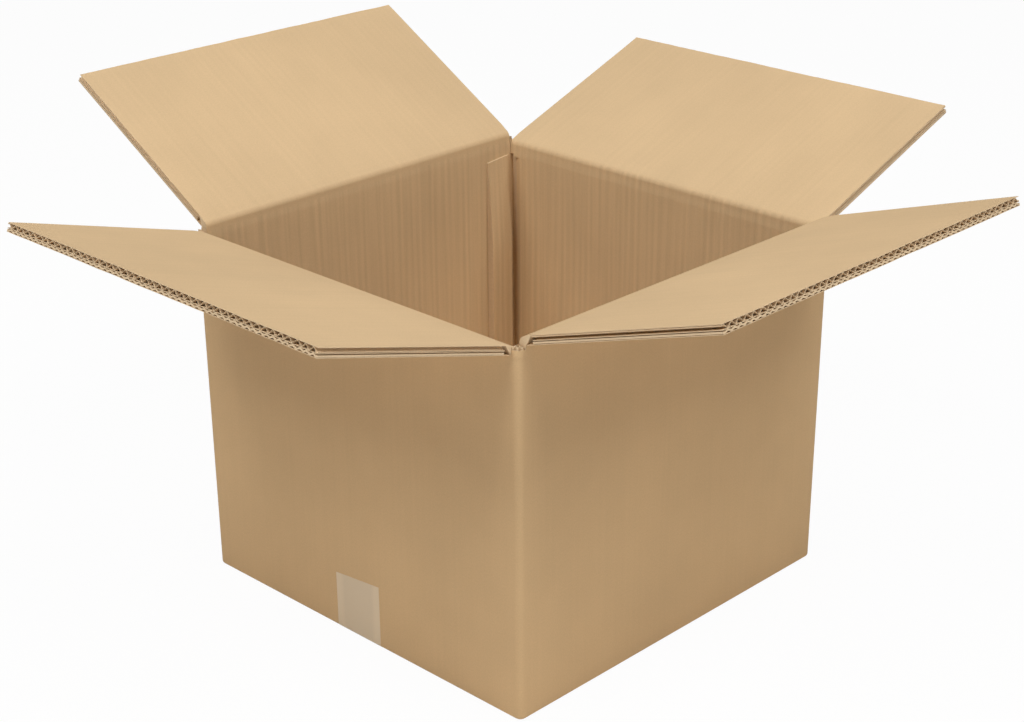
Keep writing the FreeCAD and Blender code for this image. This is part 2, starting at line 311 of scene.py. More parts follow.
def build_wall_ring(sheet):
    """The walls up to the strips pressed beside their top folds, with rounded bottom folds."""
    half, inner = half_width(), inner_half()
    path = side_steps(0, folds().joint_gap - half, inner, 26) + corner_steps(0)
    for number in (1, 2):
        path += side_steps(number, -inner, inner, 24) + corner_steps(number)
    back_end = inner - board().thickness - folds().joint_gap
    path += side_steps(3, -inner, back_end, 24) + corner_steps(3)
    radius = folds().base_radius
    outline = []
    for k in range(7):
        turn = math.pi / 2 * k / 6
        outline.append((radius * (1 - math.cos(turn)), radius * (1 - math.sin(turn))))
    outline += [(z, 0) for z in spaced(radius, ring_top(), 16)[1:]]
    outer, inside = [], []
    for point, direction, heart, along in path:
        outer.append([
            ((*(point - direction * inset), z), (along, z, 0)) for z, inset in outline])
        inside.append([((*heart, z), (along, z, board().thickness)) for z, _ in outline])
    sheet.slab(outer, inside)


def wall_frame(wall):
    """A wall's outward and sideways directions and the middle of the wall along the sheet."""
    out = Vector((*WALLS[wall][0], 0))
    across = Vector((-out.y, out.x, 0))
    number = list(WALLS).index(wall)
    return out, across, (2 * number + 1) * half_width()


def build_wall_top(sheet, wall):
    """The strip between two corner slots, pressed thinner up to its fold and mitred there."""
    out, across, middle = wall_frame(wall)
    top, thick, left_over = fold_height(wall), board().thickness, fold_board(wall)
    mitre = top - left_over - folds().fold_room
    end = inner_half() - (folds().joint_gap if wall == "back" else 0)
    outer, inner = [], []
    for place in spaced(-inner_half(), end, 24):
        base = out * half_width() + across * place
        outer.append([
            (base + Vector((0, 0, z)), (middle + place, z, 0))
            for z in spaced(ring_top(), top, 10)])
        inner.append([
            (base - out * pressed(top - z, left_over) + Vector((0, 0, z)),
             (middle + place, z, thick))
            for z in spaced(ring_top(), mitre, 10)])
    sheet.slab(outer, inner)


def build_bottom(sheet):
    """The outer flaps below, the inner flaps on top of them."""
    inner, seam, play, thick = inner_half(), folds().seam, folds().play, board().thickness
    reach = inner - play
    for side in (-1, 1):
        near, far = sorted((side * seam / 2, side * inner))
        box_slab(sheet, (near, -reach, 0), (far, reach, thick), (0.3, 0.9))
        box_slab(sheet, (-reach, near, thick + play), (reach, far, 2 * thick + play), (0.5, 1.4))


def build_tab(sheet):
    """The glue tab inside the left wall, pressed thinner towards its top and at its fold."""
    thick, inner, play = board().thickness, inner_half(), folds().play
    low = 2 * thick + 2 * play
    high = fold_height("front") - thick - 0.5 * MM
    slant = math.tan(folds().tab_taper)
    along = 8 * half_width()
    outer, inside = [], []
    groove, edge, taper = folds().tab_groove, folds().tab_edge, folds().tab_thinning
    # The tab starts in the maker's joint. Its groove is nearly flat and ends in a short step.
    runs = [folds().joint_gap - thick, 0, groove * 0.5, groove * 0.85, groove, groove * 1.2]
    for run in runs + spaced(groove * 1.2, folds().tab_width, 6)[1:]:
        y = inner - run
        heights = (spaced(low + max(run, 0) * slant, high - taper, 10)
                   + spaced(high - taper, high - max(run, 0) * slant, 8)[1:])
        outer.append([((-inner, y, z), (along + run, z, 0)) for z in heights])
        left_over = 0.1 if run < groove * 0.9 else 0.85 if run < groove * 1.1 else 1
        inside.append([
            ((-inner + (edge + (thick - edge) * min((high - z) / taper, 1)) * left_over, y, z),
             (along + run, z, thick)) for z in heights])
    sheet.slab(outer, inside)


def paper_sheet(sheet, steps, near, far, waves, phase, low, high, slots):
    """One paper of the board round a corner post, as a thin curved sheet.

    near and far are its depths, as shares of the board from the inside. A fluting paper swings
    between them waves times; a liner has none.
    """
    paper = (board().medium if waves else board().liner) / board().thickness
    rows = ([], [])
    count = len(steps) - 1
    for k, (point, _, heart, along) in enumerate(steps):
        swing = 0.5 - 0.5 * math.cos(2 * math.pi * waves * k / count + phase) if waves else 0
        middle = near + (far - near) * swing
        torn = 1.2 * MM * noise.noise(Vector((along * 450, near * 7, far * 5)))
        for row, depth in zip(rows, (middle + paper, middle)):
            depth = min(max(depth, 0.02), 1.0)
            place = heart + (point - heart) * depth
            row.append([
                ((*place, z), (along, z, (1 - depth) * board().thickness))
                for z in (low, high + torn)])
    sheet.slab(rows[0], rows[1], slots=slots)


def refined(steps, parts):
    """The same steps, each divided into parts."""
    finer = []
    for a, b in zip(steps, steps[1:]):
        for share in spaced(0, 1, parts)[:-1]:
            finer.append(tuple(x + (y - x) * share for x, y in zip(a, b)))
    return finer + [steps[-1]]


def build_corner_posts(sheet):
    """The four posts between the slots, with the cut papers of the board at their tops."""
    half, inner = half_width(), inner_half()
    thick, liner = board().thickness, board().liner / board().thickness
    middle = 1 - liner - board().small_flute / thick
    floor = slot_floor()
    posts = []
    for number in range(3):
        bend = corner_steps(number)
        before = side_steps(number, inner, half - folds().corner_radius, 2)[:-1]
        after = side_steps(number + 1, folds().corner_radius - half, -inner, 2)[1:]
        posts.append((before + bend + after, floor, 2))
    posts.append((side_steps(0, folds().joint_gap - half, -inner, 3), floor, 0.6))
    # The maker's joint ends below the shut back flap and has no cut papers.
    posts.append((corner_steps(3), fold_height("front") - thick - 0.3 * MM, 0))
    for steps, top, waves in posts:
        core = top - 7 * MM if waves else top
        outer, inside = [], []
        for point, _, heart, along in steps:
            outer.append([((*point, z), (along, z, 0)) for z in (ring_top(), core)])
            inside.append([((*heart, z), (along, z, thick)) for z in (ring_top(), core)])
        sheet.slab(outer, inside)
        if not waves:
            continue
        fine = refined(steps, 3)
        low = core - 0.5 * MM
        # The fluting papers stand a little above the liners.
        standing = top + 1.2 * MM
        for near, far, turns, phase, high, face in (
                (1 - liner, 1, 0, 0, top - MM, OUTSIDE),
                (middle, 1 - 2 * liner, waves * 1.3, 2.6, standing, FLUTING),
                (middle - liner, middle, 0, 0, top, FLUTING),
                (2 * liner, middle - 2 * liner, waves, 0.6, standing, FLUTING),
                (liner * 0.5, liner * 1.5, 0, 0, top, INSIDE)):
            back = FLUTING if face == OUTSIDE else face
            paper_sheet(sheet, fine, near, far, turns, phase, low, high, (face, back, FLUTING))


# ---------------------------------------------------------------- flaps


def flap_matrix(wall):
    """From a flap drawn flat (along the fold, away from it, through the board) to its place."""
    joint = JOINTS[WALLS[wall][3]]
    out = Vector((*WALLS[wall][0], 0))
    tilt = getattr(folds(), wall)
    up = Vector((0, 0, 1))
    away = out * math.cos(tilt) + up * math.sin(tilt)
    through = up * math.cos(tilt) - out * math.sin(tilt)
    along = away.cross(through)
    matrix = Matrix((along, away, through)).transposed().to_4x4()
    matrix.translation = Vector(joint["pos_m"])
    return matrix


class Tree:
    """Builds a node tree step by step."""

    def __init__(self, tree):
        self.tree = tree

    def add(self, kind, inputs=None, **settings):
        node = self.tree.nodes.new(kind)
        for key, setting in settings.items():
            setattr(node, key, setting)
        for key, given in (inputs or {}).items():
            self.feed(node.inputs[key], given)
        return node

    def feed(self, socket, given):
        if isinstance(given, bpy.types.NodeSocket):
            self.tree.links.new(given, socket)
            return
        socket.default_value = given

    def math(self, operation, a, b=0.0, c=0.0):
        node = self.add("ShaderNodeMath", {0: a, 1: b, 2: c}, operation=operation)
        return node.outputs[0]

    def mix(self, share, a, b):
        node = self.add("ShaderNodeMix", data_type="FLOAT")
        for key, given in ((0, share), (2, a), (3, b)):
            self.feed(node.inputs[key], given)
        return node.outputs[0]


# Columns and rows of a flap's liners, rows of its fluting papers, and columns for each wave.
LINER_COLUMNS, LINER_ROWS = 60, 28
PAPER_ROWS, WAVE_COLUMNS = 14, 12.0
# How far the rows move towards the fold and the free edge, as a share of the flap's length.
GATHER = 0.145

FLAP_INPUTS = [
    ("Span", "NodeSocketFloat"), ("Length", "NodeSocketFloat"), ("Board", "NodeSocketFloat"),
    ("Liner", "NodeSocketFloat"), ("Medium", "NodeSocketFloat"),
    ("Small Flute", "NodeSocketFloat"), ("Small Pitch", "NodeSocketFloat"),
    ("Large Pitch", "NodeSocketFloat"), ("Crushed", "NodeSocketFloat"),
    ("Fold Board", "NodeSocketFloat"), ("Fold Room", "NodeSocketFloat"),
    ("Wear", "NodeSocketFloat"), ("Start", "NodeSocketFloat"), ("Seed", "NodeSocketFloat"),
    ("Outside", "NodeSocketMaterial"), ("Inside", "NodeSocketMaterial"),
    ("Fluting", "NodeSocketMaterial"),
]


def flap_tree():
    """The corrugated board of one flap, as Geometry Nodes."""
    group = bpy.data.node_groups.new("Corrugated flap", "GeometryNodeTree")
    group.interface.new_socket("Geometry", in_out="OUTPUT", socket_type="NodeSocketGeometry")
    for name, kind in FLAP_INPUTS:
        group.interface.new_socket(name, in_out="INPUT", socket_type=kind)
    t = Tree(group)
    given = t.add("NodeGroupInput").outputs
    result = t.add("NodeGroupOutput")

    def sheet(low, thick, start, columns, rows, material):
        """A flat closed sheet whose underside is low above the flap's outside face."""
        deep = t.math("SUBTRACT", given["Length"], start)
        size = t.add("ShaderNodeCombineXYZ", {0: given["Span"], 1: deep, 2: thick}).outputs[0]
        cube = t.add("GeometryNodeMeshCube", {
            "Size": size, "Vertices X": columns, "Vertices Y": rows}).outputs["Mesh"]
        middle_y = t.math("MULTIPLY_ADD", deep, 0.5, start)
        middle_z = t.math("MULTIPLY_ADD", thick, 0.5, low)
        place = t.add("ShaderNodeCombineXYZ", {1: middle_y, 2: middle_z}).outputs[0]
        moved = t.add("GeometryNodeTransform", {"Geometry": cube, "Translation": place})
        # Rows gather towards the fold and the free edge.
        here = t.add("GeometryNodeInputPosition").outputs[0]
        y = t.add("ShaderNodeSeparateXYZ", {0: here}).outputs[1]
        share = t.math("DIVIDE", t.math("SUBTRACT", y, start), deep)
        sway = t.math("SINE", t.math("MULTIPLY", share, 2 * math.pi))
        gather = t.math("MULTIPLY", t.math("MULTIPLY", sway, deep), -GATHER)
        shift = t.add("ShaderNodeCombineXYZ", {1: gather}).outputs[0]
        gathered = t.add("GeometryNodeSetPosition", {
            "Geometry": moved.outputs[0], "Offset": shift})
        return t.add("GeometryNodeSetMaterial", {
            "Geometry": gathered.outputs[0], "Material": material}).outputs[0]

    def fluted(low, high, pitch, phase, thick):
        """The fluting paper between two liners."""
        waves = t.math("DIVIDE", given["Span"], pitch)
        columns = t.math("MULTIPLY", waves, WAVE_COLUMNS)
        paper = sheet(low, thick, mitre, columns, PAPER_ROWS, given["Fluting"])
        position = t.add("GeometryNodeInputPosition").outputs[0]
        x = t.add("ShaderNodeSeparateXYZ", {0: position}).outputs[0]
        drift = t.add("ShaderNodeTexNoise", {
            "W": t.math("MULTIPLY", x, 60.0), "Scale": 1.0, "Detail": 1.0},
            noise_dimensions="1D").outputs[0]
        turns = t.math("ADD", t.math("DIVIDE", x, pitch), t.math("MULTIPLY", drift, 0.5))
        wave = t.math("SINE", t.math("MULTIPLY_ADD", turns, 2 * math.pi, phase))
        lifted = t.math("MULTIPLY_ADD", wave, 0.5, 0.5)
        room = t.math("SUBTRACT", t.math("SUBTRACT", high, low), thick)
        rise = t.add("ShaderNodeCombineXYZ", {2: t.math("MULTIPLY", lifted, room)}).outputs[0]
        return t.add("GeometryNodeSetPosition", {"Geometry": paper, "Offset": rise}).outputs[0]

    small_top = t.math("ADD", given["Liner"], given["Small Flute"])
    middle_top = t.math("ADD", small_top, given["Liner"])
    large_top = t.math("SUBTRACT", given["Board"], given["Liner"])
    root = t.math("MULTIPLY", given["Liner"], 1.5)
    mitre = t.math("ADD", given["Fold Board"], given["Fold Room"])
    # The small flute's paper is frayed and looks thicker.
    frayed = t.math("MULTIPLY", given["Medium"], 4.0)
    across = (LINER_COLUMNS, LINER_ROWS)
    parts = [
        sheet(0.0, given["Liner"], root, *across, given["Outside"]),
        sheet(small_top, given["Liner"], mitre, *across, given["Fluting"]),
        sheet(large_top, given["Liner"], mitre, *across, given["Inside"]),
        fluted(given["Liner"], small_top, given["Small Pitch"], 0.4, frayed),
        fluted(middle_top, large_top, given["Large Pitch"], 1.9, given["Medium"]),
    ]
    joined = t.add("GeometryNodeJoinGeometry")
    for part in reversed(parts):
        t.tree.links.new(part, joined.inputs[0])

    position = t.add("GeometryNodeInputPosition").outputs[0]
    x, y, z = t.add("ShaderNodeSeparateXYZ", {0: position}).outputs[:3]
    along = t.math("SUBTRACT", given["Start"], x)
    up = t.math("ADD", y, FLAP_START)
    blank = t.add("ShaderNodeCombineXYZ", {0: along, 1: up, 2: z}).outputs[0]
    stored = t.add("GeometryNodeStoreNamedAttribute", {
        "Geometry": joined.outputs[0], "Name": "blank", "Value": blank},
        data_type="FLOAT_VECTOR", domain="POINT").outputs[0]

    # The saw and the knife leave the free edge a little uneven.
    from_edge = t.math("SUBTRACT", given["Length"], y)
    near_edge = t.math("SUBTRACT", 1.0, t.math("DIVIDE", from_edge, 0.012))
    near_edge = t.math("MAXIMUM", near_edge, 0.0)
    spot = t.add("ShaderNodeCombineXYZ", {
        0: x, 1: t.math("MULTIPLY", z, 2.0), 2: given["Seed"]}).outputs[0]
    rough = t.add("ShaderNodeTexNoise", {"Vector": spot, "Scale": 260.0, "Detail": 2.0})
    slow = t.add("ShaderNodeTexNoise", {"Vector": spot, "Scale": 28.0, "Detail": 1.0})
    frayed_by = t.math("SUBTRACT", rough.outputs[0], 0.5)
    bent_by = t.math("SUBTRACT", slow.outputs[0], 0.5)
    shift_y = t.math("MULTIPLY", t.math("MULTIPLY", frayed_by, near_edge), given["Wear"])
    shift_z = t.math("MULTIPLY", t.math("MULTIPLY", bent_by, near_edge), given["Wear"])
    shift = t.add("ShaderNodeCombineXYZ", {1: shift_y, 2: shift_z}).outputs[0]
    worn = t.add("GeometryNodeSetPosition", {"Geometry": stored, "Offset": shift}).outputs[0]

    # The press leaves less of the board beside the fold.
    reach = t.add("ShaderNodeMapRange", {0: y, 1: 0.0, 2: given["Crushed"]},
                  interpolation_type="SMOOTHSTEP").outputs[0]
    left_over = t.math("DIVIDE", given["Fold Board"], given["Board"])
    squeeze = t.math("SUBTRACT", t.mix(reach, left_over, 1.0), 1.0)
    drop = t.add("ShaderNodeCombineXYZ", {2: t.math("MULTIPLY", z, squeeze)}).outputs[0]
    flat = t.add("GeometryNodeSetPosition", {"Geometry": worn, "Offset": drop}).outputs[0]
    real = t.add("GeometryNodeRealizeInstances", {"Geometry": flat}).outputs[0]
    # The cut ends of the liners show the paper's lighter heart.
    facing = t.add("ShaderNodeSeparateXYZ", {0: t.add("GeometryNodeInputNormal").outputs[0]})
    cut = t.math("LESS_THAN", t.math("ABSOLUTE", facing.outputs[2]), 0.4)
    final = t.add("GeometryNodeSetMaterial", {
        "Geometry": real, "Selection": cut, "Material": given["Fluting"]}).outputs[0]
    t.tree.links.new(final, result.inputs[0])
    return group


def run_tree(group, values, name):
    """The mesh that a Geometry Nodes tree makes from the given values."""
    carrier = bpy.data.objects.new(name + "_carrier", bpy.data.meshes.new(name + "_carrier"))
    bpy.context.scene.collection.objects.link(carrier)
    modifier = carrier.modifiers.new("Corrugated", "NODES")
    modifier.node_group = group
    for item in group.interface.items_tree:
        if item.in_out == "INPUT" and item.name in values:
            modifier[item.identifier] = values[item.name]
    depsgraph = bpy.context.evaluated_depsgraph_get()
    mesh = bpy.data.meshes.new_from_object(carrier.evaluated_get(depsgraph), depsgraph=depsgraph)
    carrier.modifiers.clear()
    bpy.data.objects.remove(carrier)
    mesh.name = name
    mesh.polygons.foreach_set("use_smooth", [True] * len(mesh.polygons))
    mesh.set_sharp_from_angle(angle=SHARP)
    return mesh


def build_flap(wall, group, paper):
    _, node, body, _ = WALLS[wall]
    thick = board().thickness
    span = 2 * (half_width() - thick - folds().play)
    outside, inside, fluting = paper
    _, _, middle = wall_frame(wall)
    mesh = run_tree(group, {
        "Span": span, "Length": half_width() - folds().seam / 2, "Board": thick,
        "Liner": board().liner, "Medium": board().medium, "Small Flute": board().small_flute,
        "Small Pitch": board().small_pitch, "Large Pitch": board().large_pitch,
        "Crushed": board().crushed, "Fold Board": fold_board(wall),
        "Fold Room": folds().fold_room, "Wear": board().wear,
        "Start": middle, "Seed": middle * 7,
        "Outside": outside, "Inside": inside, "Fluting": fluting,
    }, wall + "_board")
    mesh.transform(flap_matrix(wall))
    piece = bpy.data.objects.new(wall + "_board", mesh)
    bpy.context.scene.collection.objects.link(piece)
    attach(piece, body)
    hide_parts(node)
    return piece


# The fold's underside stays this share of the board away from the fold line.
FOLD_LINE = 0.04


def fold_section(tilt, left_over):
    """The fold's section, seen along it: from the inside of the wall over to the flap."""
    mitre = left_over + folds().fold_room
    points = [(-pressed(-q, left_over), q) for q in spaced(-mitre, 0, 5)[:-1]]
    for turn in spaced(math.pi, math.pi / 2 + tilt, 12):
        points.append((left_over * math.cos(turn), left_over * math.sin(turn)))
    away = Vector((math.cos(tilt), math.sin(tilt)))
    through = Vector((-math.sin(tilt), math.cos(tilt)))
    for run in spaced(0, mitre, 5)[1:]:
        points.append(tuple(through * pressed(run, left_over) + away * run))
    return points


def build_fold(wall, paper):
    """The board that bends over the top of a wall into its flap."""
    out, across, middle = wall_frame(wall)
    hinge = Vector(JOINTS[WALLS[wall][3]]["pos_m"])
    tilt, left_over = getattr(folds(), wall), fold_board(wall)
    section = fold_section(tilt, left_over)
    reach = half_width() - board().thickness - folds().play
    sheet = Sheet()
    skin, core = [], []
    for place in spaced(reach, -reach, 120):
        ridge, heart = [], []
        travelled = hinge.z - left_over
        previous = Vector(section[0])
        centre = hinge + across * place
        for p, q in section:
            travelled += (Vector((p, q)) - previous).length
            previous = Vector((p, q))
            spoke = out * p + Vector((0, 0, q))
            ridge.append((centre + spoke, (middle + place, travelled, board().thickness)))
            heart.append((centre + spoke * FOLD_LINE, (middle + place, travelled, 0)))
        skin.append(ridge)
        core.append(heart)
    sheet.slab(skin, core, slots=(INSIDE, OUTSIDE, FLUTING))
    piece = sheet.make(wall + "_crease", paper)
    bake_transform(piece)
    return piece


# ---------------------------------------------------------------- tape


def build_tape(material):
    """One strip along the bottom seam and up both end walls, with slanted ends."""
    tape = bpy.context.scene.carton_tape
    half, radius = half_width(), folds().base_radius
    rise_steps = 16
    route = [(-half, z) for z in spaced(tape.rise, radius, rise_steps)]
    for k in range(1, 9):
        turn = math.pi + math.pi / 2 * k / 8
        route.append((-half + radius + radius * math.cos(turn), radius + radius * math.sin(turn)))
    route += [(y, 0) for y in spaced(-half + radius, half - radius, 40)[1:]]
    for k in range(1, 9):
        turn = -math.pi / 2 + math.pi / 2 * k / 8
        route.append((half - radius + radius * math.cos(turn), radius + radius * math.sin(turn)))
    route += [(half, z) for z in spaced(radius, tape.rise, rise_steps)[1:]]
    normals = []
    for i, (y, z) in enumerate(route):
        before, after = route[max(i - 1, 0)], route[min(i + 1, len(route) - 1)]
        run = Vector((after[0] - before[0], after[1] - before[1])).normalized()
        normals.append(Vector((run.y, -run.x)))
    sheet = Sheet()
    outer, inner = [], []
    travelled = 0.0
    for i, ((y, z), normal) in enumerate(zip(route, normals)):
        if i:
            travelled += (Vector(route[i]) - Vector(route[i - 1])).length
        rows = ([], [])
        for share in spaced(-0.5, 0.5, 16):
            x = share * tape.width
            slant = 0.0
            from_end = min(i, len(route) - 1 - i)
            if from_end <= rise_steps:
                slant = tape.skew * share * (1 - from_end / rise_steps)
                slant += 0.25 * MM * noise.noise(Vector((x * 900, i, 0))) * (from_end == 0)
            for row, lift in zip(rows, (tape.thickness, 0.01 * MM)):
                row.append((
                    (x, y + normal.x * lift, z + normal.y * lift + slant),
                    (x, travelled, lift)))
        outer.append(rows[0])
        inner.append(rows[1])
    sheet.slab(outer, inner, slots=(0, 0, 0))
    piece = sheet.make("tape_strip", [material], "carton")
    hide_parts("sealing_tape")
    return piece


# ---------------------------------------------------------------- materials


def fibre_group():
    """Kraft paper: long mottling, short fibres, specks and the flutes that press through, which
    give the bump and also a painted shade in the colour.
    """
    group = bpy.data.node_groups.new("Kraft paper", "ShaderNodeTree")
    for name, default in (("Flute Pitch", 0.0078), ("Ridges And Painted Shade", 0.5)):
        socket = group.interface.new_socket(name, in_out="INPUT", socket_type="NodeSocketFloat")
        socket.default_value = default
    for name in ("Shade", "Height"):
        group.interface.new_socket(name, in_out="OUTPUT", socket_type="NodeSocketFloat")
    t = Tree(group)
    given = t.add("NodeGroupInput").outputs
    result = t.add("NodeGroupOutput")
    place = t.add("ShaderNodeAttribute", attribute_name="blank").outputs["Vector"]
    x, y, z = t.add("ShaderNodeSeparateXYZ", {0: place}).outputs

    def cloud(scale_x, scale_y, detail, seed):
        spot = t.add("ShaderNodeCombineXYZ", {
            0: t.math("MULTIPLY", x, scale_x), 1: t.math("MULTIPLY", y, scale_y),
            2: t.math("MULTIPLY_ADD", z, 300.0, seed)}).outputs[0]
        return t.add("ShaderNodeTexNoise", {
            "Vector": spot, "Scale": 1.0, "Detail": detail, "Roughness": 0.6}).outputs[0]

    broad = cloud(9.0, 7.0, 3.0, 1.0)
    streak = cloud(260.0, 5.0, 2.0, 4.0)
    fibres = cloud(900.0, 700.0, 3.0, 8.0)

    # The flutes show on the walls more than on the flaps. Their ridges and hollows give the bump
    # and a painted shade in the colour.
    wobble = t.math("MULTIPLY", cloud(18.0, 3.0, 2.0, 20.0), 1.6)
    turns = t.math("ADD", t.math("DIVIDE", x, given["Flute Pitch"]), wobble)
    wave = t.math("COSINE", t.math("MULTIPLY", turns, 2 * math.pi))
    strength = t.math("MULTIPLY_ADD", t.math("LESS_THAN", y, TOP_OF_WALLS), 0.8, 0.2)
    uneven = t.math("MAXIMUM", t.math("MULTIPLY_ADD", cloud(70.0, 4.0, 2.0, 30.0), 4.0, -1.4), 0.0)
    amount = t.math("MULTIPLY", t.math("MULTIPLY", given["Ridges And Painted Shade"], strength), uneven)
    ridges_and_painted_shade = t.math("MULTIPLY", wave, amount)

    shade = t.math("MULTIPLY", t.math("SUBTRACT", broad, 0.5), 0.55)
    lines = t.math("MULTIPLY_ADD", t.math("MULTIPLY", given["Ridges And Painted Shade"], strength), 0.55, 0.06)
    shade = t.math("ADD", shade, t.math("MULTIPLY", t.math("SUBTRACT", streak, 0.5), lines))
    shade = t.math("ADD", shade, t.math("MULTIPLY", t.math("SUBTRACT", fibres, 0.5), 0.55))
    # Painted shade: the flutes' ridges are painted lighter and their hollows darker.
    shade = t.math("ADD", shade, t.math("MULTIPLY", ridges_and_painted_shade, 0.10))
    t.feed(result.inputs["Shade"], t.math("ADD", shade, 0.5))
    height = t.math("ADD", ridges_and_painted_shade, t.math("MULTIPLY", t.math("SUBTRACT", fibres, 0.5), 0.12))
    t.feed(result.inputs["Height"], height)
    return group


def shaded(base, factor):
    return tuple(min(c * factor, 1) for c in base[:3]) + (1,)


def paper_material(name, base, group, pitch, ridges_and_painted_shade, contrast=0.10, bump=0.30):
    material = bpy.data.materials.new(name)
    material.use_nodes = True
    t = Tree(material.node_tree)
    shader = material.node_tree.nodes["Principled BSDF"]
    kraft = t.add("ShaderNodeGroup", {}, node_tree=group)
    kraft.inputs["Flute Pitch"].default_value = pitch
    kraft.inputs["Ridges And Painted Shade"].default_value = ridges_and_painted_shade
    ramp = t.add("ShaderNodeValToRGB", {"Fac": kraft.outputs["Shade"]})
    ramp.color_ramp.elements[0].position = 0.25
    ramp.color_ramp.elements[0].color = shaded(base, 1 - contrast)
    ramp.color_ramp.elements[1].position = 0.75
    ramp.color_ramp.elements[1].color = shaded(base, 1 + contrast)
    bump_node = t.add("ShaderNodeBump", {
        "Height": kraft.outputs["Height"], "Strength": bump, "Distance": 0.0006})
    t.tree.links.new(ramp.outputs[0], shader.inputs["Base Color"])
    t.tree.links.new(bump_node.outputs[0], shader.inputs["Normal"])
    shader.inputs["Roughness"].default_value = 0.82
    shader.inputs["Specular IOR Level"].default_value = 0.25
    return material


def tape_material():
    tape = bpy.context.scene.carton_tape
    material = bpy.data.materials.new("Packing tape")
    material.use_nodes = True
    t = Tree(material.node_tree)
    shader = material.node_tree.nodes["Principled BSDF"]
    place = t.add("ShaderNodeAttribute", attribute_name="blank").outputs["Vector"]
    x = t.add("ShaderNodeSeparateXYZ", {0: place}).outputs[0]
    side = t.math("DIVIDE", t.math("ABSOLUTE", x), tape.width / 2)
    margin = t.math("SMOOTH_MIN", t.math("MULTIPLY", t.math("SUBTRACT", side, 0.62), 6.0), 1.0, 0.2)
    margin = t.math("MAXIMUM", margin, 0.0)
    blotch = t.add("ShaderNodeTexNoise", {"Vector": place, "Scale": 70.0, "Detail": 3.0}).outputs[0]
    share = t.math("MULTIPLY_ADD", t.math("SUBTRACT", blotch, 0.5), 0.5, margin)
    ramp = t.add("ShaderNodeValToRGB", {"Fac": share})
    ramp.color_ramp.elements[0].color = tape.film
    ramp.color_ramp.elements[1].color = shaded(tape.film, 1.07)
    bump_node = t.add("ShaderNodeBump", {"Height": blotch, "Strength": 0.15, "Distance": 0.0004})
    t.tree.links.new(ramp.outputs[0], shader.inputs["Base Color"])
    t.tree.links.new(bump_node.outputs[0], shader.inputs["Normal"])
    shader.inputs["Roughness"].default_value = 0.45
    shader.inputs["Specular IOR Level"].default_value = 0.35
    return material


def papers():
    """Outside liner, inside liner and fluting, made once."""
    names = ("Outside liner", "Inside liner", "Fluting paper")
    if names[0] not in bpy.data.materials:
        group = fibre_group()
        paper_material(names[0], board().outside, group, board().small_pitch, 0.08)
        paper_material(names[1], board().inside, group, board().large_pitch, 0.9)
        paper_material(names[2], board().fluting, group, board().large_pitch, 0.0)
    return [bpy.data.materials[name] for name in names]


# ---------------------------------------------------------------- stage


def floor_material():
    material = bpy.data.materials.new("White floor")
    material.use_nodes = True
    nodes = material.node_tree.nodes
    nodes.clear()
    t = Tree(material.node_tree)
    matt = t.add("ShaderNodeBsdfDiffuse", {"Color": (0.86, 0.86, 0.86, 1)})
    glow = t.add("ShaderNodeEmission", {"Color": (1, 1, 1, 1), "Strength": 1.0})
    seen = t.add("ShaderNodeLightPath").outputs["Is Camera Ray"]
    # The camera sees the floor nearly white, and a little of the shadow.
    share = t.math("MULTIPLY", seen, 0.96)
    mixed = t.add("ShaderNodeMixShader", {0: share, 1: matt.outputs[0], 2: glow.outputs[0]})
    out = t.add("ShaderNodeOutputMaterial")
    t.tree.links.new(mixed.outputs[0], out.inputs[0])
    return material


def build_world():
    world = bpy.data.worlds.new("Studio")
    world.use_nodes = True
    world.node_tree.nodes.clear()
    t = Tree(world.node_tree)
    # A dim room, brighter overhead, that the camera sees as plain white.
    direction = t.add("ShaderNodeTexCoord").outputs["Generated"]
    height = t.add("ShaderNodeSeparateXYZ", {0: direction}).outputs[2]
    lift = t.math("MAXIMUM", height, 0.0)
    level = t.math("MULTIPLY_ADD", lift, 0.05, 0.04)
    room = t.add("ShaderNodeBackground", {"Color": (1, 1, 1, 1), "Strength": level})
    white = t.add("ShaderNodeBackground", {"Color": (1, 1, 1, 1), "Strength": 1.0})
    seen = t.add("ShaderNodeLightPath").outputs["Is Camera Ray"]
    mixed = t.add("ShaderNodeMixShader", {0: seen, 1: room.outputs[0], 2: white.outputs[0]})
    out = t.add("ShaderNodeOutputWorld")
    t.tree.links.new(mixed.outputs[0], out.inputs[0])
    bpy.context.scene.world = world


# Name, place, point it faces, width and height, watts.
LAMPS = (
    ("Left softbox", (-0.2, -1.6, 2.4), (0, 0, 0.25), (1.6, 1.6), 42),
    ("Right softbox", (1.6, 0.2, 2.4), (0, 0, 0.25), (1.6, 1.6), 41),
    ("Back softbox", (-0.6, 0.6, 2.4), (0, 0, 0.3), (1.6, 1.6), 7),
    ("Low strip", (1.6, -1.6, 0.35), (0, 0, 0.2), (1.6, 0.6), 5),
)


def add_area(name, place, target, size, power):
    light = bpy.data.lights.new(name, "AREA")
    light.shape = "RECTANGLE"
    light.size, light.size_y = size
    light.energy = power
    lamp = bpy.data.objects.new(name, light)
    lamp.location = place
    lamp.rotation_euler = (Vector(target) - Vector(place)).to_track_quat("-Z", "Y").to_euler()
    bpy.context.scene.collection.objects.link(lamp)


